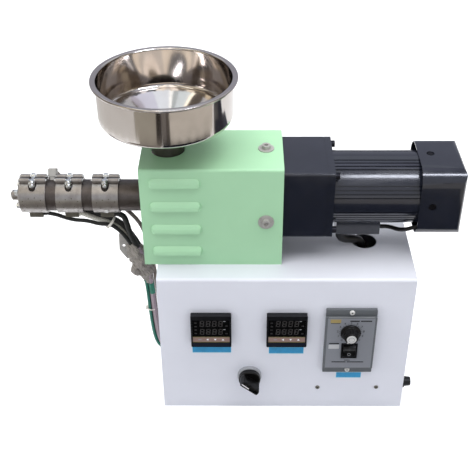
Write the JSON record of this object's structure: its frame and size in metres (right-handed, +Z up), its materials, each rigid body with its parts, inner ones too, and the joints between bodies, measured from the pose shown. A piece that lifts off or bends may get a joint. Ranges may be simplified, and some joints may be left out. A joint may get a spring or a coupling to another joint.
{
  "type": "tabletop filament extruder",
  "caption": "Tabletop single-screw filament extruder: sheet-steel control cabinet carrying a gear motor, louvred gear cover, feed hopper and a barrel with clamped band heaters.",
  "frame": {"origin": "middle of the cabinet's underside, on the surface the machine stands on", "axes": "+X along the barrel from the nozzle to the motor's fan, +Z up, the front panel faces -Y"},
  "size_m": [0.5192, 0.1805, 0.4235],
  "materials": {
    "white_coat": "satin powder coat",
    "green_coat": "satin powder coat",
    "motor_enamel": "gloss enamel",
    "stainless": "polished",
    "band_steel": "satin, heat-tinted",
    "zinc": "bright zinc",
    "dark_steel": "oiled dark steel",
    "black_plastic": "moulded",
    "smoked_window": "gloss",
    "key_film": "satin film",
    "speed_face_film": "satin film",
    "speed_frame_plastic": "moulded",
    "grey_plastic": "moulded",
    "lead_rubber": "satin"
  },
  "bodies": {
    "machine": {"cabinet_wrapper": "white_coat", "left_end_panel": "white_coat", "right_end_panel": "white_coat", "base_plate": "white_coat", "heat_controller": "black_plastic", "heat_display": "smoked_window", "cooling_controller": "black_plastic", "cooling_display": "smoked_window", "controller_keys": "key_film", "speed_plate": "speed_frame_plastic", "speed_face": "speed_face_film", "rocker_frame": "black_plastic", "selector_collar": "grey_plastic", "gear_cover": "green_coat", "cover_bolts": "zinc", "hopper": "stainless", "hopper_cone": "stainless", "hopper_neck": "stainless", "feed_block": "dark_steel", "block_stand": "dark_steel", "shaft_coupling": "zinc", "gearbox_bracket": "dark_steel", "gearbox": "motor_enamel", "motor_flange": "motor_enamel", "gearbox_bolts": "dark_steel", "motor_body": "motor_enamel", "fan_cover": "motor_enamel", "fan_cover_screws": "dark_steel", "cooling_fan": "black_plastic", "terminal_box": "motor_enamel", "motor_lead": "lead_rubber", "fan_lead": "lead_rubber", "barrel": "dark_steel", "end_plate": "band_steel", "nozzle": "band_steel", "end_bolts": "zinc", "band_heater_1": "band_steel", "band_heater_2": "band_steel", "band_heater_3": "band_steel", "heater_clamps": "zinc", "terminal_caps": "band_steel", "heater_leads": "lead_rubber", "sensor_lead": "lead_rubber", "lead_plate": "zinc", "thermocouple": "zinc", "cord_gland": "black_plastic"},
    "selector": {"selector_handle": "black_plastic"},
    "speed_dial": {"speed_knob": "black_plastic", "speed_knob_cap": "zinc"},
    "rocker": {"run_rocker": "black_plastic"}
  },
  "joints": [
    {"name": "selector_turn", "type": "hinge", "parent": "machine", "child": "selector", "pos_m": [-0.042, -0.085, 0.055], "axis": [0, 1, 0], "range_deg": [0, 90]},
    {"name": "speed_turn", "type": "hinge", "parent": "machine", "child": "speed_dial", "pos_m": [0.0775, -0.085, 0.131], "axis": [0, 1, 0], "range_deg": [0, 280]},
    {"name": "rocker_tilt", "type": "hinge", "parent": "machine", "child": "rocker", "pos_m": [0.0775, -0.0785, 0.1025], "axis": [1, 0, 0], "range_deg": [0, 16]}
  ]
}
